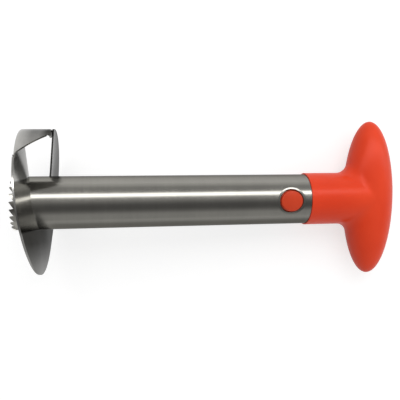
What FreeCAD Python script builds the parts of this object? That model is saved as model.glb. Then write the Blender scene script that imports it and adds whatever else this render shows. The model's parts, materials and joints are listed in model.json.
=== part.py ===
import FreeCAD, Part
import math
import os
from FreeCAD import Matrix, Placement, Rotation, Vector

# Pineapple corer. A steel tube with a saw-toothed mouth carries a ring blade, cut from one sheet,
# that climbs once round it. A T-grip plugs into the tube's other end and is held by a sprung button.
#
# Each piece is drawn along the tool: X runs from the teeth to the grip, Y along the grip's bar, and
# Z the way that the button faces. Places along X are measured from the tooth tips. Angles turn about
# X, from +Y towards +Z. At the end, the tool is laid on a table, on its blade and its grip.
# Millimetres and degrees.

# Tube
TUBE_RADIUS = 16.0
TUBE_WALL = 1.0
TUBE_LENGTH = 181.2
SEAT_DEPTH = 0.2

# Saw teeth round the tube's mouth
TOOTH_COUNT = 22
TOOTH_HEIGHT = 2.5
TOOTH_LAND = 0.2
TOOTH_FACE_LEAN = 0.5
FIRST_TOOTH_ANGLE = 0.2

# Ring blade: the sheet, stretched between the line where it meets the tube and its fold line
SHEET = 1.0
RIM_RADIUS = 43.45
RING_OFFSET = 0.6
START_ANGLE = -2.0
END_ANGLE = 366.0
HUB_START = 8.4
HUB_CLIMB = 12.7
FOLD_START = 5.3
FOLD_LEAN = 2.5
FOLD_LIFT = 0.65
FOLD_END = 23.8
FIRST_BEND = (60.0, 170.0)
LAST_BEND = (225.0, 350.0)
BEVEL_WIDTH = 3.0
BEVEL_LAND = 0.3

# Cutting flap, folded up from the ring's start and in again under its end
FLAP_FOLD = 0.8
TAB_FOLD = 0.9
TAB_REACH = 4.3
TAB_SEAT = 0.15
TAB_END_ANGLE = 14.0
TAB_CORNER = 1.2
TRAIL_START_ANGLE = 49.4
TRAIL_END_ANGLE = 22.1
NOTCH_RADIUS = 0.7

# Release button, oval, and its hole
BUTTON_FROM_SEAM = 13.2
BUTTON_LENGTH = 14.0
BUTTON_WIDTH = 12.8
BUTTON_RISE = 1.4
BUTTON_DOME = 24.0
BUTTON_EDGE = 1.0
BUTTON_TRAVEL = 3.0
HOLE_CLEARANCE = 0.4
HOLE_ROUND = 0.6
FLANGE_WIDTH = 1.6
FLANGE_CLEARANCE = 0.3
SKIRT_DEPTH = 10.5

# Plug of the grip, with the button's pocket
PLUG_LENGTH = 32.0
PLUG_CLEARANCE = 0.08
PLUG_LEAD_IN = 1.2
POCKET_CLEARANCE = 0.3
PRESSED_ROOM = 1.5
BOSS_CLEARANCE = 0.4
BOSS_HEIGHT = 2.0

# Coil spring under the button
WIRE_RADIUS = 0.4
COIL_RADIUS = 3.8
COIL_TURNS = 5
SPRING_GAP = 0.1
WELL_CLEARANCE = 0.8
WELL_ROOF_THICKNESS = 3.6

# T-grip
NECK_RADIUS = 16.8
NECK_EDGE = 0.4
GRIP_LENGTH = 60.6
GRIP_WIDTH = 100.8
GRIP_THICKNESS = 31.2
GRIP_DEPTH = 34.0
GRIP_FLARE = 8.5

# Values that follow from the ones above
BORE_RADIUS = TUBE_RADIUS - TUBE_WALL
SEAT_RADIUS = BORE_RADIUS + SEAT_DEPTH
PLUG_RADIUS = SEAT_RADIUS - PLUG_CLEARANCE
PLUG_END = TUBE_LENGTH - PLUG_LENGTH
BUTTON_PLACE = TUBE_LENGTH - BUTTON_FROM_SEAM
BUTTON_TOP = TUBE_RADIUS + BUTTON_RISE
SKIRT_LOW = BUTTON_TOP - SKIRT_DEPTH
POCKET_FLOOR = SKIRT_LOW - BUTTON_TRAVEL - PRESSED_ROOM
WELL_ROOF = BUTTON_TOP - WELL_ROOF_THICKNESS
WELL_RADIUS = COIL_RADIUS + WIRE_RADIUS + WELL_CLEARANCE
BOSS_RADIUS = COIL_RADIUS - WIRE_RADIUS - BOSS_CLEARANCE
GRIP_CENTRE = TUBE_LENGTH + GRIP_LENGTH - GRIP_THICKNESS / 2
FOOT_BEND = FLAP_FOLD + SHEET
TAB_BEND = TAB_FOLD + SHEET
FOLD_RADIUS = RIM_RADIUS - FOOT_BEND
TAB_INNER = RIM_RADIUS - TAB_REACH
TAB_TOP = FOLD_END + TAB_SEAT
WALL_FOOT = FOLD_START + 0.6 * SHEET

ALONG = Vector(1, 0, 0)
UP = Vector(0, 0, 1)
MARGIN = 1.0
SHEET_STEP = 10.0
TILT_STEPS = 20


def outward(angle):
    """The direction that leaves the tool's axis at this angle."""
    turn = math.radians(angle)
    return Vector(0, math.cos(turn), math.sin(turn))


def sideways(angle):
    """The direction in which the angle grows."""
    return outward(angle + 90)


def on_round(place, angle, radius):
    """A point at this place along the tool, angle and radius."""
    return ALONG * place + outward(angle) * radius


def rod(radius, start, end):
    """A cylinder on the tool's axis."""
    return Part.makeCylinder(radius, end - start, ALONG * start, ALONG)


def post(radius, low, high):
    """A cylinder that stands on the button's axis."""
    return Part.makeCylinder(radius, high - low, Vector(BUTTON_PLACE, 0, low), UP)


def oval_post(margin, low, high):
    """A post of the button's outline, larger by the margin all round."""
    foot = Vector(BUTTON_PLACE, 0, low)
    outline = Part.Ellipse(foot, BUTTON_LENGTH / 2 + margin, BUTTON_WIDTH / 2 + margin)
    return Part.Face(Part.Wire(outline.toShape())).extrude(UP * (high - low))


def polygon(points):
    return Part.makePolygon(points + points[:1])


def half_space(point, normal):
    """A block that fills the side of a plane that its normal points to."""
    reach = 2 * GRIP_WIDTH
    block = Part.makeBox(reach, reach, reach, Vector(-reach / 2, -reach / 2, 0))
    block.Placement = Placement(point, Rotation(UP, normal))
    return block


def tooth_gap():
    """The wedge between one tooth's tip and the next, cut square through the wall."""
    tip = math.degrees(TOOTH_LAND / TUBE_RADIUS)
    root = 360 / TOOTH_COUNT - math.degrees(TOOTH_FACE_LEAN / TUBE_RADIUS)
    pitch = 360 / TOOTH_COUNT
    outline = [(-MARGIN, tip), (0, tip), (TOOTH_HEIGHT, root), (0, pitch), (-MARGIN, pitch)]
    ends = []
    for radius in (BORE_RADIUS - MARGIN, TUBE_RADIUS + MARGIN):
        corners = [on_round(place, FIRST_TOOTH_ANGLE + angle, radius) for place, angle in outline]
        ends.append(polygon(corners))
    return Part.makeLoft(ends, True, True)


def make_core_tube():
    """A tube with teeth round its mouth, the seat of the plug in its bore, and the button's hole."""
    tube = rod(TUBE_RADIUS, 0, TUBE_LENGTH).cut(rod(BORE_RADIUS, -MARGIN, TUBE_LENGTH + MARGIN))
    seat = rod(SEAT_RADIUS, PLUG_END, TUBE_LENGTH + MARGIN)
    gaps = []
    for number in range(TOOTH_COUNT):
        gap = tooth_gap()
        gap.rotate(Vector(), ALONG, number * 360 / TOOTH_COUNT)
        gaps.append(gap)
    tube = tube.cut([seat, Part.makeCompound(gaps), oval_post(HOLE_CLEARANCE, 0, BUTTON_TOP)])
    side = math.degrees(math.acos((BUTTON_WIDTH / 2 + HOLE_CLEARANCE) / TUBE_RADIUS))
    return tube.makeFillet(HOLE_ROUND, edges_at(tube, on_round(BUTTON_PLACE, side, TUBE_RADIUS)))


def hub_place(angle):
    """Where the sheet's teeth side meets the tube."""
    return HUB_START + HUB_CLIMB * angle / 360


def eased(angle, span):
    """How much of a bend, from none to all of it, is made at this angle."""
    share = min(max((angle - span[0]) / (span[1] - span[0]), 0), 1)
    return share * share * (3 - 2 * share)


def fold_place(angle):
    """Where the teeth side lies at the fold line: in a leaning plane, past the hub, then level."""
    first = eased(angle, FIRST_BEND)
    last = eased(angle, LAST_BEND)
    lean = math.tan(math.radians(FOLD_LEAN)) * FOLD_RADIUS
    start = FOLD_START + lean * (1 - math.cos(math.radians(angle)))
    middle = hub_place(angle) + FOLD_LIFT
    return start * (1 - first) + middle * (first - last) + FOLD_END * last


def sheet_point(angle, radius):
    """A point of the sheet's teeth side, on a straight line from the tube past the fold line."""
    share = (radius - TUBE_RADIUS) / (FOLD_RADIUS - TUBE_RADIUS)
    place = hub_place(angle) + (fold_place(angle) - hub_place(angle)) * share
    return on_round(place, angle, radius)


def sheet_line(radius):
    steps = math.ceil((END_ANGLE - START_ANGLE) / SHEET_STEP)
    angles = [START_ANGLE + (END_ANGLE - START_ANGLE) * step / steps for step in range(steps + 1)]
    line = Part.BSplineCurve()
    line.interpolate(Points=[sheet_point(angle, radius) for angle in angles], Parameters=angles)
    return line.toShape()


def start_bevel():
    """The wedge that is ground off the teeth side of the ring's leading edge."""
    ends = []
    for radius in (TUBE_RADIUS - 2 * MARGIN, FOLD_RADIUS - BEVEL_WIDTH / 2):
        corner = sheet_point(START_ANGLE, radius)
        across = sideways(START_ANGLE)
        ends.append(polygon([
            corner - across * MARGIN + ALONG * (SHEET - BEVEL_LAND),
            corner + ALONG * (SHEET - BEVEL_LAND),
            corner + across * BEVEL_WIDTH,
            corner + across * BEVEL_WIDTH - ALONG * MARGIN,
            corner - across * MARGIN - ALONG * MARGIN,
        ]))
    return Part.makeLoft(ends, True, True)


def make_ring():
    """The sheet's one turn: a ruled skin, made SHEET thick and trimmed to the rim."""
    skin = Part.makeRuledSurface(sheet_line(TUBE_RADIUS - 2 * MARGIN), sheet_line(RIM_RADIUS + MARGIN))
    return skin.extrude(ALONG * SHEET).common(rod(RIM_RADIUS, -MARGIN, TUBE_LENGTH))


def over_flap(section):
    """Turns a section through the stretch of the ring that has the flap."""
    section.rotate(Vector(), ALONG, START_ANGLE)
    return section.revolve(Vector(), ALONG, TRAIL_START_ANGLE - START_ANGLE)


def bend(centre, radius, first, last):
    """An arc of the flap's section, with its three points given by angles in the section's plane."""
    points = []
    for angle in (first, (first + last) / 2, last):
        turn = math.radians(angle)
        points.append(centre + Vector(math.cos(turn), math.sin(turn), 0) * radius)
    return Part.Arc(*points).toShape()


def flap_section():
    """Wall and tab of the flap, cut through along the tool at angle zero."""
    tab_centre = Vector(TAB_TOP - TAB_BEND, RIM_RADIUS - TAB_BEND, 0)
    outer_tab = bend(tab_centre, TAB_BEND, 90, 0)
    inner_tab = bend(tab_centre, TAB_FOLD, 0, 90)
    foot_end = Part.LineSegment(Vector(WALL_FOOT, RIM_RADIUS - SHEET, 0), Vector(WALL_FOOT, RIM_RADIUS, 0))
    tab_end = Part.LineSegment(Vector(TAB_TOP, TAB_INNER, 0), Vector(TAB_TOP - SHEET, TAB_INNER, 0))
    pieces = [foot_end.toShape(), outer_tab, tab_end.toShape(), inner_tab]
    edges = []
    for here, after in zip(pieces, pieces[1:] + pieces[:1]):
        edges.append(here)
        start = here.valueAt(here.LastParameter)
        end = after.valueAt(after.FirstParameter)
        edges.append(Part.LineSegment(start, end).toShape())
    return Part.Face(Part.Wire(edges))


def trailing_cut():
    """What is beyond the flap's slanted trailing edge, outside the fold line."""
    start = on_round(FOLD_START, TRAIL_START_ANGLE, RIM_RADIUS)
    end = on_round(TAB_TOP, TRAIL_END_ANGLE, RIM_RADIUS)
    normal = outward((TRAIL_START_ANGLE + TRAIL_END_ANGLE) / 2).cross(end - start)
    if normal.dot(sideways(TRAIL_START_ANGLE)) < 0:
        normal = normal * -1
    outside = rod(RIM_RADIUS + MARGIN, -MARGIN, TAB_TOP + MARGIN)
    outside = outside.cut(rod(FOLD_RADIUS, -2 * MARGIN, TAB_TOP + 2 * MARGIN))
    return half_space(start, normal).common(outside)


def tab_end_cut():
    """The block beyond the tab's slanted end."""
    wall_top = TAB_TOP - TAB_BEND
    share = (wall_top - FOLD_START) / (TAB_TOP - FOLD_START)
    outer_angle = TRAIL_START_ANGLE + (TRAIL_END_ANGLE - TRAIL_START_ANGLE) * share
    outer = on_round(wall_top, outer_angle, RIM_RADIUS)
    inner = on_round(wall_top, TAB_END_ANGLE, TAB_INNER)
    normal = (outer - inner).cross(ALONG)
    if normal.dot(sideways(TAB_END_ANGLE)) < 0:
        normal = normal * -1
    beyond = half_space(outer, normal)
    return beyond.common(rod(2 * RIM_RADIUS, wall_top, TAB_TOP + MARGIN))


def edges_at(shape, point):
    vertex = Part.Vertex(point)
    return [edge for edge in shape.Edges if edge.distToShape(vertex)[0] < TAB_SEAT]


def raise_flap(sheet):
    """Folds the flap up from the rim of the sheet's first stretch, and cuts it to shape."""
    flap = sheet.fuse(over_flap(flap_section())).removeSplitter()
    middle = (START_ANGLE + TRAIL_START_ANGLE) / 2
    flap = flap.makeFillet(FOOT_BEND, edges_at(flap, sheet_point(middle, RIM_RADIUS)))
    inner = sheet_point(middle, RIM_RADIUS - SHEET) + ALONG * SHEET
    flap = flap.makeFillet(FLAP_FOLD, edges_at(flap, inner))
    flap = flap.cut([trailing_cut(), tab_end_cut(), start_bevel()])
    corner = on_round(TAB_TOP - SHEET / 2, TAB_END_ANGLE, TAB_INNER)
    return flap.makeFillet(TAB_CORNER, [edge for edge in edges_at(flap, corner) if is_along(edge)])


def is_along(edge):
    """Whether a straight edge runs along the tool."""
    direction = edge.lastVertex().Point - edge.firstVertex().Point
    return direction.Length > 0 and direction.cross(ALONG).Length < 1e-6 * direction.Length


def make_ring_blade():
    """The ring and its flap, with a relief notch between them, set over the tube."""
    low, high = 0, TAB_TOP / 2
    inner, outer = MARGIN, RIM_RADIUS + MARGIN
    corners = [Vector(low, inner, 0), Vector(high, inner, 0), Vector(high, outer, 0), Vector(low, outer, 0)]
    first_stretch = over_flap(Part.Face(polygon(corners)))
    ring = make_ring()
    flap = raise_flap(ring.common(first_stretch))
    notch_angle = TRAIL_START_ANGLE + math.degrees(NOTCH_RADIUS / RIM_RADIUS)
    notch_at = on_round(FOLD_START + SHEET, notch_angle, RIM_RADIUS - 2 * NOTCH_RADIUS)
    notch = Part.makeCylinder(NOTCH_RADIUS, 4 * NOTCH_RADIUS, notch_at, outward(notch_angle))
    blade = ring.cut(first_stretch).fuse(flap).cut(notch)
    blade.translate(Vector(0, RING_OFFSET, 0))
    return blade.cut(rod(TUBE_RADIUS, -MARGIN, TUBE_LENGTH)).removeSplitter()


def make_grip_body():
    """A neck that flares into an ellipsoid bar."""
    stretch = Matrix()
    stretch.scale(GRIP_THICKNESS / 2, GRIP_WIDTH / 2, GRIP_DEPTH / 2)
    bar = Part.makeSphere(1.0, Vector(), ALONG).transformGeometry(stretch)
    bar.translate(ALONG * GRIP_CENTRE)
    neck = rod(NECK_RADIUS, TUBE_LENGTH, GRIP_CENTRE)
    body = neck.fuse(bar)
    seam = TUBE_LENGTH + NECK_EDGE
    round_neck = [edge for edge in body.Edges if on_neck(edge) and not is_along(edge)]
    flare = [edge for edge in round_neck if edge.BoundBox.XMin > seam]
    body = body.makeFillet(GRIP_FLARE, flare)
    collar = [edge for edge in body.Edges if on_neck(edge) and edge.BoundBox.XMax < seam]
    return body.makeFillet(NECK_EDGE, collar)


def on_neck(edge):
    """Whether an edge lies on the neck's round."""
    for share in (0.2, 0.5, 0.8):
        first, last = edge.ParameterRange
        point = edge.valueAt(first + (last - first) * share)
        if abs(math.hypot(point.y, point.z) - NECK_RADIUS) > 0.01:
            return False
    return True


def make_handle():
    plug = rod(PLUG_RADIUS, PLUG_END, TUBE_LENGTH + MARGIN)
    lead_in = [edge for edge in plug.Edges if edge.BoundBox.XMax < PLUG_END + MARGIN]
    plug = plug.makeChamfer(PLUG_LEAD_IN, lead_in)
    pocket = oval_post(FLANGE_WIDTH + POCKET_CLEARANCE, POCKET_FLOOR, BUTTON_TOP)
    boss = post(BOSS_RADIUS, POCKET_FLOOR - MARGIN, POCKET_FLOOR + BOSS_HEIGHT)
    return make_grip_body().fuse(plug).cut(pocket).fuse(boss)


def make_release_button():
    """A domed cap that comes through the hole, on a skirt that the tube's wall holds in."""
    dome = Part.makeSphere(BUTTON_DOME, Vector(BUTTON_PLACE, 0, BUTTON_TOP - BUTTON_DOME), UP)
    cap = oval_post(0, SKIRT_LOW, BUTTON_TOP + MARGIN).common(dome)
    rim_low = BUTTON_TOP - BUTTON_DOME / 8
    rim = [edge for edge in cap.Edges if edge.isClosed() and edge.BoundBox.ZMin > rim_low]
    cap = cap.makeFillet(BUTTON_EDGE, rim)
    skirt = oval_post(FLANGE_WIDTH, SKIRT_LOW, BUTTON_TOP)
    skirt = skirt.common(rod(SEAT_RADIUS - FLANGE_CLEARANCE, PLUG_END, TUBE_LENGTH))
    well = post(WELL_RADIUS, SKIRT_LOW - MARGIN, WELL_ROOF)
    return cap.fuse(skirt).cut(well)


def make_button_spring():
    low = POCKET_FLOOR + SPRING_GAP + WIRE_RADIUS
    high = WELL_ROOF - SPRING_GAP - WIRE_RADIUS
    coil = Part.makeHelix((high - low) / COIL_TURNS, high - low, COIL_RADIUS)
    wire = Part.Wire(Part.makeCircle(WIRE_RADIUS, Vector(COIL_RADIUS, 0, 0), Vector(0, 1, 0)))
    spring = Part.Wire(coil.Edges).makePipeShell([wire], True, True)
    spring.translate(Vector(BUTTON_PLACE, 0, low))
    return spring


def resting_tilt():
    """The slope, in degrees, at which the blade's rim and the grip's belly both reach the table."""
    rim_at = sheet_point(270, RIM_RADIUS).x + SHEET
    tilt = 0.0
    for _ in range(TILT_STEPS):
        belly = math.hypot(GRIP_THICKNESS / 2 * math.sin(tilt), GRIP_DEPTH / 2 * math.cos(tilt))
        rise = RIM_RADIUS * math.cos(tilt) - belly
        tilt = math.asin(rise / (GRIP_CENTRE - rim_at))
    return math.degrees(tilt)


def lay_down(pieces):
    """Tips the tool onto the table, with the middle of its footprint at the origin."""
    tool = Part.makeCompound(list(pieces.values()))
    tool.rotate(Vector(), Vector(0, 1, 0), resting_tilt())
    box = tool.optimalBoundingBox(False, False)
    for piece in pieces.values():
        piece.rotate(Vector(), Vector(0, 1, 0), resting_tilt())
        piece.translate(Vector(-box.Center.x, -box.Center.y, -box.ZMin))


def main():
    os.makedirs("parts", exist_ok=True)
    pieces = {
        "core_tube": make_core_tube(),
        "ring_blade": make_ring_blade(),
        "handle": make_handle(),
        "release_button": make_release_button(),
        "button_spring": make_button_spring(),
    }
    lay_down(pieces)
    for name, piece in pieces.items():
        piece.exportStep("parts/" + name + ".step")


main()
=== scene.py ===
"""Pineapple corer: looks, lights and camera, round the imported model."""
import json
import math

import bpy
from mathutils import Matrix, Vector


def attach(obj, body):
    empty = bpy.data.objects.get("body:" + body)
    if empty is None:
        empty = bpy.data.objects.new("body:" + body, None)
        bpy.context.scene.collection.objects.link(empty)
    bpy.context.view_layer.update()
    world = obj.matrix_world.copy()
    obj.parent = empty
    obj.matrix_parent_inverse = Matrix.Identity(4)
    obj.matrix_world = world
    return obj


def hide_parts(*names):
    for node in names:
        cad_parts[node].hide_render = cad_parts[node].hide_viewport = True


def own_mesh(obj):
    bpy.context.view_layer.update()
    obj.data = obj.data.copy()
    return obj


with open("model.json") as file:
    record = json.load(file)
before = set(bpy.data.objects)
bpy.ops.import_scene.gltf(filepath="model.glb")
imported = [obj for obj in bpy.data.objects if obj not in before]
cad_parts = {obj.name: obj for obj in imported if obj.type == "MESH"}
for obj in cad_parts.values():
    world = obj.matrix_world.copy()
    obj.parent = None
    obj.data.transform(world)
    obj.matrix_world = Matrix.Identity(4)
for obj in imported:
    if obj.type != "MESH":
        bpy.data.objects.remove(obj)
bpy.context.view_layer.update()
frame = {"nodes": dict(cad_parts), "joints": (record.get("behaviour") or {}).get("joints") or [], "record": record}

# The tool's own axes in the shared frame, from the record: along the tube, along the grip's bar, and
# the way that the button faces. Its origin is the tooth tips' centre, and the bore's mount lies a
# few millimetres in from there. Lengths are in millimetres, as in the source, unless named otherwise.
record = frame["record"]
MM = 0.001
BORE_MOUNT_DEPTH = 5.0
mount = record["mounts"][0]
ALONG = -Vector(mount["axis"]).normalized()
BUTTON_WAY = -Vector(frame["joints"][0]["axis"]).normalized()
BAR_WAY = BUTTON_WAY.cross(ALONG).normalized()
TIPS = Vector(mount["pos_m"]) - ALONG * BORE_MOUNT_DEPTH * MM
TOOL = Matrix((ALONG, BAR_WAY, BUTTON_WAY)).transposed()

# The photograph's camera: its place in the tool's millimetres, and its turns in radians
CAMERA_AT = (55.846, 28.691, 326.227)
CAMERA_TURNS = (0.087, 0.172, 0.016)
FOCAL_PIXELS = 525.94
IMAGE_PIXELS = 400
SENSOR_MM = 36.0
CLIP_METRES = (0.01, 20)

# The noise that counts as a surface's darkest and lightest
NOISE_ENDS = (0.3, 0.7)
MOTTLE_ENDS = (0.35, 0.65)

# Steel: the size, detail and roughness of its clouds, and the strength and depth in metres of the
# bumps that clouds and lines leave
CLOUDS = (55.0, 3.0, 0.55)
CLOUD_BUMP = (0.05, 0.0004)
LINE_BUMP = (0.08, 0.00005)

# How much of its shine the satin steel keeps at a grazing angle
EDGE_SHINE = 0.4

# The tube's painted reflection across the tool, as shares of its radius: a painted dark
# reflection makes one flank darker than the other. It comes in past the ring, between these
# places along the tube.
TUBE_RADIUS = 16.0
TUBE_PAINTED_REFLECTION = [(-1, 0.36), (-0.91, 0.33), (-0.83, 0.22), (-0.75, 0.19), (-0.68, 0.26), (-0.6, 0.33),
              (-0.5, 0.39), (1, 0.40)]
PAST_RING = (12.0, 25.0)

# The blade's painted reflection and shade across the tool, in millimetres from the tube's middle:
# a painted reflection of the tube makes it bright by the tube, and painted shade makes it darker
# below it. Places lean with the height over the tube. At the plain shine the metal's colour is as
# written.
BLADE_PLAIN_SHINE = 0.5
BLADE_PAINTED_LIGHT = [(-43, 0.58), (-38, 0.50), (-31, 0.38), (-24, 0.29), (-16.5, 0.29), (-14, 0.75),
               (-11, 1.0), (9, 1.0), (14, 0.75), (18, 0.66), (44, 0.56)]
BLADE_LEAN = 0.14
BLADE_REACH = 50.0

# Painted highlight on the blade's rim and flap, lighter than the sheet, from the teeth's side to
# the far one
RIM_PAINTED_HIGHLIGHT = (0.88, 0.50)
RIM_ALONG = (6.0, 14.0)
RIM_FROM = (42.3, 42.9)

# The ring's last stretch, where painted shade makes it darker again
END_PAINTED_SHADE = 0.59
END_ALONG = (18.0, 22.0)

# The flap's inside faces the tube by this much; there a painted reflection of the tube makes it
# bright, and it is rougher
FACES_TUBE = (-0.5, -0.9)
FLAP_HAZE = 0.4

# The button's hole in the tube, and the dished edge round it
HOLE_PLACE = 168.0
HOLE_HALF_LENGTH = 7.4
HOLE_HALF_WIDTH = 6.8
HOLE_MEAN = (HOLE_HALF_LENGTH + HOLE_HALF_WIDTH) / 2
DISH = (0.6, 1.7)
DISH_DEPTH = 0.22
DISH_FADE = 5.0

# The tube's outside is where its surface faces outwards by this much, clear of the hole's edge
FACES_OUT = (0.95, 0.985)
HOLE_EDGE_FADE = 0.05

# Plastic: the size and detail of its mottle and its peel, the strength and depth of their bumps, its
# roughness, and its gloss from full view to the edge
MOTTLE = (38.0, 3.0)
MOTTLE_BUMP = (0.05, 0.0008)
PEEL = (900.0, 2.0)
PEEL_BUMP = (0.08, 0.00006)
PLASTIC_ROUGHNESS = (0.30, 0.37)
PLASTIC_GLOSS = (0.26, 0.06)
GLOSS_FADE = (0.3, 0.9)

# The floor: half its width in metres, its grey, and what is added so that it shows white
FLOOR_HALF = 3.0
FLOOR_GREY = 0.52
FLOOR_LIFT = 0.635

# What polished metal sees round the tool: angle from the bar's way towards the button's way, in
# degrees, and the brightness there. Light tents with dark flags look like this.
ROUND_THE_TOOL = [
    (0, 1.00), (10, 0.80), (20, 0.56), (40, 0.54), (48, 0.62), (50, 5.40), (62, 5.40), (65, 0.78),
    (78, 0.56), (92, 0.27), (102, 0.18), (118, 0.18), (130, 0.34), (140, 0.60), (165, 0.60),
    (180, 0.95), (360, 1.00),
]

# The sine of the height up to which the tent fades to white
HORIZON = 0.3

# The plain light that falls on everything: less of it comes from the teeth's side
PLAIN_FROM = (-1.0, 0.2)
PLAIN_LIGHT = (0.30, 0.76)

# The lamp's place and target in the tool's millimetres, its width in metres and its watts
KEY_PLACE = (60, 700, 700)
KEY_TARGET = (110, 0, 0)
KEY_WIDTH = 0.9
KEY_POWER = 5.0


def in_world(point):
    """A place given in the tool's millimetres, in the shared frame's metres."""
    return TIPS + TOOL @ Vector(point) * MM


def place_in_scene(name, data):
    """A new object with this data, linked to the scene."""
    thing = bpy.data.objects.new(name, data)
    bpy.context.scene.collection.objects.link(thing)
    return thing


def add_camera():
    roll, yaw, pitch = (Matrix.Rotation(turn, 3, axis) for turn, axis in
                        zip(reversed(CAMERA_TURNS), "ZYX"))
    view = roll @ yaw @ pitch
    data = bpy.data.cameras.new("photo_camera")
    data.sensor_width = SENSOR_MM
    data.lens = FOCAL_PIXELS / IMAGE_PIXELS * SENSOR_MM
    data.clip_start, data.clip_end = CLIP_METRES
    camera = place_in_scene("photo_camera", data)
    camera.matrix_world = Matrix.Translation(in_world(CAMERA_AT)) @ (TOOL @ view.transposed()).to_4x4()
    bpy.context.scene.camera = camera


class Nodes:
    """A short way to write a node tree."""

    def __init__(self, tree):
        self.tree = tree
        self.tree.nodes.clear()

    def add(self, kind, inputs=None, **settings):
        node = self.tree.nodes.new(kind)
        for name, value in settings.items():
            setattr(node, name, value)
        for name, value in (inputs or {}).items():
            self.give(node.inputs[name], value)
        return node

    def give(self, socket, value):
        if isinstance(value, bpy.types.NodeSocket):
            self.tree.links.new(value, socket)
        else:
            socket.default_value = value

    def math(self, operation, *values):
        node = self.add("ShaderNodeMath", operation=operation)
        for socket, value in zip(node.inputs, values):
            self.give(socket, value)
        return node.outputs[0]

    def vector(self, operation, *values, **named):
        node = self.add("ShaderNodeVectorMath", named, operation=operation)
        for socket, value in zip(node.inputs, values):
            self.give(socket, value)
        return node.outputs[0]

    def dot(self, first, second):
        inputs = {0: first, 1: second}
        return self.add("ShaderNodeVectorMath", inputs, operation="DOT_PRODUCT").outputs["Value"]

    def between(self, share, first, second):
        """The number at this share of the way from the first to the second."""
        return self.math("MULTIPLY_ADD", self.math("SUBTRACT", second, first), share, first)

    def blend(self, share, first, second):
        """The vector at this share of the way from the first to the second."""
        way = self.vector("SUBTRACT", second, first)
        return self.vector("ADD", first, self.vector("SCALE", way, Scale=share))

    def spread(self, value, low, high, to_low=0.0, to_high=1.0):
        node = self.add("ShaderNodeMapRange", interpolation_type="LINEAR", clamp=True)
        for name, amount in (("Value", value), ("From Min", low), ("From Max", high),
                             ("To Min", to_low), ("To Max", to_high)):
            self.give(node.inputs[name], amount)
        return node.outputs["Result"]

    def ramp(self, value, stops):
        node = self.add("ShaderNodeValToRGB")
        self.give(node.inputs[0], value)
        points = node.color_ramp.elements
        while len(points) < len(stops):
            points.new(0.5)
        for point, (place, color) in zip(points, stops):
            point.position = place
            point.color = (*color, 1)
        return node.outputs["Color"]

    def noise(self, vector, scale, detail=2.0, roughness=0.5):
        node = self.add("ShaderNodeTexNoise", {"Vector": vector, "Scale": scale, "Detail": detail,
                                               "Roughness": roughness})
        return node.outputs["Fac"]

    def bump(self, height, strength, distance, normal=None):
        node = self.add("ShaderNodeBump", {"Height": height, "Strength": strength, "Distance": distance})
        if normal:
            self.give(node.inputs["Normal"], normal)
        return node.outputs["Normal"]


def tool_coordinates(nodes):
    """The surface point in the tool's own axes, in metres from the tooth tips."""
    where = nodes.add("ShaderNodeTexCoord").outputs["Object"]
    shift = nodes.vector("SUBTRACT", where, TIPS)
    parts = [nodes.dot(shift, way) for way in (ALONG, BAR_WAY, BUTTON_WAY)]
    return nodes.add("ShaderNodeCombineXYZ", dict(enumerate(parts))).outputs[0], parts


def finish_material(nodes, shader):
    nodes.add("ShaderNodeOutputMaterial", {"Surface": shader.outputs[0]})


def new_material(name):
    material = bpy.data.materials.new(name)
    material.use_nodes = True
    return material, Nodes(material.node_tree)


def hypotenuse(nodes, first, second):
    """The length of the diagonal over two sides at a right angle."""
    squares = nodes.math("MULTIPLY_ADD", first, first, nodes.math("MULTIPLY", second, second))
    return nodes.math("SQRT", squares)


def outward_way(nodes, parts):
    """The way out from the tube's axis, and how far the surface faces that way."""
    sideways = nodes.vector("SCALE", BAR_WAY, Scale=parts[1])
    outward = nodes.vector("ADD", sideways, nodes.vector("SCALE", BUTTON_WAY, Scale=parts[2]))
    outward = nodes.vector("NORMALIZE", outward)
    surface = nodes.add("ShaderNodeNewGeometry").outputs["True Normal"]
    return outward, nodes.dot(surface, outward)


def spread_mm(nodes, value, ends, to_low=0.0, to_high=1.0):
    """Spreads a length in metres between two ends given in millimetres."""
    return nodes.spread(value, ends[0] * MM, ends[1] * MM, to_low, to_high)


def painted_light_across(nodes, place, reach, stops):
    """Painted light that changes across the tool, read from places between -reach and reach."""
    across = spread_mm(nodes, place, (-reach, reach))
    return nodes.ramp(across, [((where + 1) / 2, (painted_light,) * 3) for where, painted_light in stops])


def tube_painted_reflection(nodes, parts):
    """Painted reflection on the tube: the same all round inside the ring, then darker on one flank."""
    painted_light = painted_light_across(nodes, parts[1], TUBE_RADIUS, TUBE_PAINTED_REFLECTION)
    return nodes.between(spread_mm(nodes, parts[0], PAST_RING), EDGE_SHINE, painted_light)


def blade_painted_light(nodes, parts):
    """Painted light on the sheet: reflection and shade, a lighter rim, a darker end and a bright flap inside."""
    place = nodes.math("MULTIPLY_ADD", parts[2], -BLADE_LEAN, parts[1])
    stops = [(where / BLADE_REACH, painted_light) for where, painted_light in BLADE_PAINTED_LIGHT]
    sheet = painted_light_across(nodes, place, BLADE_REACH, stops)
    rim = spread_mm(nodes, hypotenuse(nodes, parts[1], parts[2]), RIM_FROM)
    painted_light = nodes.between(rim, sheet, spread_mm(nodes, parts[0], RIM_ALONG, *RIM_PAINTED_HIGHLIGHT))
    painted_light = nodes.math("MULTIPLY", painted_light, spread_mm(nodes, parts[0], END_ALONG, 1.0, END_PAINTED_SHADE))
    # Painted reflection of the tube: the sheet is made bright where it faces the tube
    inside = nodes.spread(outward_way(nodes, parts)[1], *FACES_TUBE)
    return nodes.between(inside, painted_light, 1.0)


def blade_haze(nodes, parts):
    """What the flap's inside adds to the sheet's roughness."""
    return nodes.spread(outward_way(nodes, parts)[1], *FACES_TUBE, 0.0, FLAP_HAZE)


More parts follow.
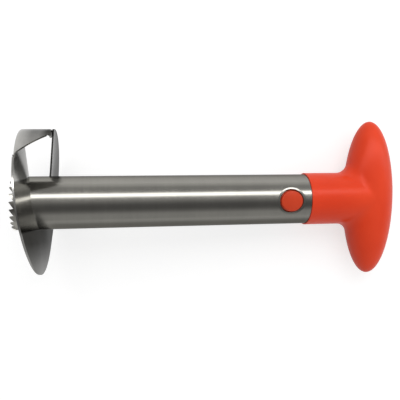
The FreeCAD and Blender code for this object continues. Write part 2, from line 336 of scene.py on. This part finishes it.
def tube_normal(nodes, parts):
    """The tube's true round on its outside, elsewhere the surface as it is, and the hole's dish."""
    outward, facing = outward_way(nodes, parts)
    along = nodes.math("DIVIDE", nodes.math("SUBTRACT", parts[0], HOLE_PLACE * MM), HOLE_HALF_LENGTH * MM)
    across = nodes.math("DIVIDE", parts[1], HOLE_HALF_WIDTH * MM)
    from_hole = nodes.math("SUBTRACT", hypotenuse(nodes, along, across), 1.0)
    level = nodes.spread(from_hole, DISH[0] / HOLE_MEAN, DISH[1] / HOLE_MEAN)
    clear = nodes.spread(from_hole, (DISH[0] - HOLE_EDGE_FADE) / HOLE_MEAN, DISH[0] / HOLE_MEAN)
    outside = nodes.math("MULTIPLY", nodes.spread(facing, *FACES_OUT), clear)
    surface = nodes.add("ShaderNodeNewGeometry").outputs["Normal"]
    normal = nodes.vector("NORMALIZE", nodes.blend(outside, surface, outward))
    upper_side = spread_mm(nodes, parts[2], (0.0, DISH_FADE))
    dip = nodes.math("MULTIPLY", nodes.math("SUBTRACT", 1.0, level), upper_side)
    return nodes.bump(nodes.math("SUBTRACT", 1.0, dip), 1.0, DISH_DEPTH * MM, normal)


def steel(name, dark, light, roughness, lines, painted_light=None, plain=EDGE_SHINE, shape=None, haze=None):
    """Satin steel with fine lines and soft clouds. Painted light, a shape and a haze can vary over it."""
    material, nodes = new_material(name)
    place, parts = tool_coordinates(nodes)
    fine = nodes.noise(nodes.vector("MULTIPLY", place, lines), 1.0)
    cloudy = nodes.noise(place, *CLOUDS)
    mixed = nodes.between(0.5, fine, cloudy)
    color = nodes.ramp(mixed, list(zip(NOISE_ENDS, (dark, light))))
    gloss = nodes.spread(mixed, *NOISE_ENDS, *roughness)
    if haze:
        gloss = nodes.math("ADD", gloss, haze(nodes, parts))
    normal = nodes.bump(cloudy, *CLOUD_BUMP, shape(nodes, parts) if shape else None)
    tint_with_painted_light = (EDGE_SHINE, EDGE_SHINE, EDGE_SHINE, 1)
    # Painted light scales the colour and the grazing tint
    if painted_light:
        tint_with_painted_light = painted_light(nodes, parts)
        color = nodes.vector("SCALE", color, Scale=nodes.math("DIVIDE", tint_with_painted_light, plain))
    shader = nodes.add("ShaderNodeBsdfPrincipled", {
        "Base Color": color, "Roughness": gloss, "Metallic": 1.0, "Specular Tint": tint_with_painted_light,
        "Normal": nodes.bump(fine, *LINE_BUMP, normal)})
    finish_material(nodes, shader)
    return material


def plastic(name, dark, light):
    """Semi-gloss moulded plastic, with a faint mottle and a faint orange peel."""
    material, nodes = new_material(name)
    place, _ = tool_coordinates(nodes)
    mottle = nodes.noise(place, *MOTTLE)
    peel = nodes.noise(place, *PEEL)
    facing = nodes.add("ShaderNodeLayerWeight", {"Blend": 0.5}).outputs["Facing"]
    shader = nodes.add("ShaderNodeBsdfPrincipled", {
        "Base Color": nodes.ramp(mottle, list(zip(MOTTLE_ENDS, (dark, light)))),
        "Roughness": nodes.spread(mottle, *NOISE_ENDS, *PLASTIC_ROUGHNESS),
        "Specular IOR Level": nodes.spread(facing, *GLOSS_FADE, *PLASTIC_GLOSS),
        "Normal": nodes.bump(peel, *PEEL_BUMP, nodes.bump(mottle, *MOTTLE_BUMP))})
    finish_material(nodes, shader)
    return material


def dress(name, material):
    node = frame["nodes"][name]
    node.data.materials.clear()
    node.data.materials.append(material)


def dress_all():
    """Each solid's material. Lines are the finish's fineness per metre, along each of the tool's axes."""
    # The tube's and the blade's colours carry painted reflection and painted shade
    dress("core_tube", steel(
        "tube_steel", dark=(0.25, 0.243, 0.222), light=(0.30, 0.292, 0.266), roughness=(0.17, 0.23),
        lines=(5200.0, 25.0, 25.0), painted_light=tube_painted_reflection, shape=tube_normal))
    dress("ring_blade", steel(
        "blade_steel", dark=(0.22, 0.217, 0.208), light=(0.27, 0.266, 0.255), roughness=(0.12, 0.18),
        lines=(1500.0, 300.0, 300.0), painted_light=blade_painted_light, plain=BLADE_PLAIN_SHINE, haze=blade_haze))
    dress("button_spring", steel(
        "spring_steel", dark=(0.52, 0.51, 0.49), light=(0.62, 0.61, 0.59), roughness=(0.2, 0.3),
        lines=(600.0, 600.0, 600.0)))
    dress("handle", plastic("grip_plastic", dark=(0.75, 0.047, 0.010), light=(0.81, 0.057, 0.013)))
    dress("release_button", plastic(
        "button_plastic", dark=(0.57, 0.046, 0.012), light=(0.63, 0.055, 0.015)))


def add_spring():
    """The coil spring again, as its own piece on the corer, in place of the hidden solid."""
    solid = frame["nodes"]["button_spring"]
    spring = place_in_scene("coil_spring", solid.data.copy())
    spring.matrix_world = solid.matrix_world.copy()
    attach(spring, "corer")
    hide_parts("button_spring")
    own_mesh(spring)


def seen_directly(nodes, strength):
    """This strength for rays that show the background, none for the ones that only carry light."""
    path = nodes.add("ShaderNodeLightPath")
    gloss = nodes.math("MAXIMUM", path.outputs["Is Glossy Ray"], path.outputs["Is Transmission Ray"])
    seen = nodes.math("MAXIMUM", path.outputs["Is Camera Ray"], gloss)
    return nodes.math("MULTIPLY", seen, strength)


def add_floor():
    """A plain white floor, which keeps the tool's shadow."""
    corners = [(x * FLOOR_HALF, y * FLOOR_HALF, 0) for x, y in ((-1, -1), (1, -1), (1, 1), (-1, 1))]
    mesh = bpy.data.meshes.new("floor")
    mesh.from_pydata(corners, [], [(0, 1, 2, 3)])
    floor = place_in_scene("floor", mesh)
    material, nodes = new_material("floor_white")
    base = nodes.add("ShaderNodeBsdfDiffuse", {"Color": (FLOOR_GREY, FLOOR_GREY, FLOOR_GREY, 1)})
    lift = nodes.add("ShaderNodeEmission", {"Color": (1, 1, 1, 1),
                                            "Strength": seen_directly(nodes, FLOOR_LIFT)})
    both = nodes.add("ShaderNodeAddShader", {0: base.outputs[0], 1: lift.outputs[0]})
    finish_material(nodes, both)
    mesh.materials.append(material)


def add_world():
    """A light tent: white at the horizon, with one strip light and one dark flag overhead."""
    world = bpy.data.worlds.new("studio")
    world.use_nodes = True
    bpy.context.scene.world = world
    nodes = Nodes(world.node_tree)
    way = nodes.add("ShaderNodeTexCoord").outputs["Generated"]
    angle = nodes.math("ARCTAN2", nodes.dot(way, BUTTON_WAY), nodes.dot(way, BAR_WAY))
    turn = nodes.math("FRACT", nodes.math("ADD", nodes.math("DIVIDE", angle, 2 * math.pi), 1.0))
    stops = [(place / 360, (value,) * 3) for place, value in ROUND_THE_TOOL]
    height = nodes.spread(nodes.dot(way, (0, 0, 1)), 0.0, HORIZON)
    color = nodes.blend(height, (1, 1, 1), nodes.ramp(turn, stops))
    tent = nodes.add("ShaderNodeBackground", {"Color": color, "Strength": 1.0})
    side = nodes.spread(nodes.dot(way, ALONG), *PLAIN_FROM, *PLAIN_LIGHT)
    plain = nodes.add("ShaderNodeBackground", {"Color": (1, 1, 1, 1), "Strength": side})
    both = nodes.add("ShaderNodeMixShader", {0: seen_directly(nodes, 1.0), 1: plain.outputs[0],
                                             2: tent.outputs[0]})
    nodes.add("ShaderNodeOutputWorld", {"Surface": both.outputs[0]})


def add_key_lamp():
    """One soft square lamp over the tool. Metal and plastic don't mirror it."""
    data = bpy.data.lights.new("key", "AREA")
    data.shape = "RECTANGLE"
    data.size = data.size_y = KEY_WIDTH
    data.energy = KEY_POWER
    lamp = place_in_scene("key", data)
    start, end = in_world(KEY_PLACE), in_world(KEY_TARGET)
    lamp.matrix_world = Matrix.LocRotScale(start, (end - start).to_track_quat("-Z", "Y"), None)
    lamp.visible_glossy = False


def main():
    add_camera()
    dress_all()
    add_spring()
    add_floor()
    add_world()
    add_key_lamp()
    bpy.context.scene.view_settings.view_transform = "Standard"


main()
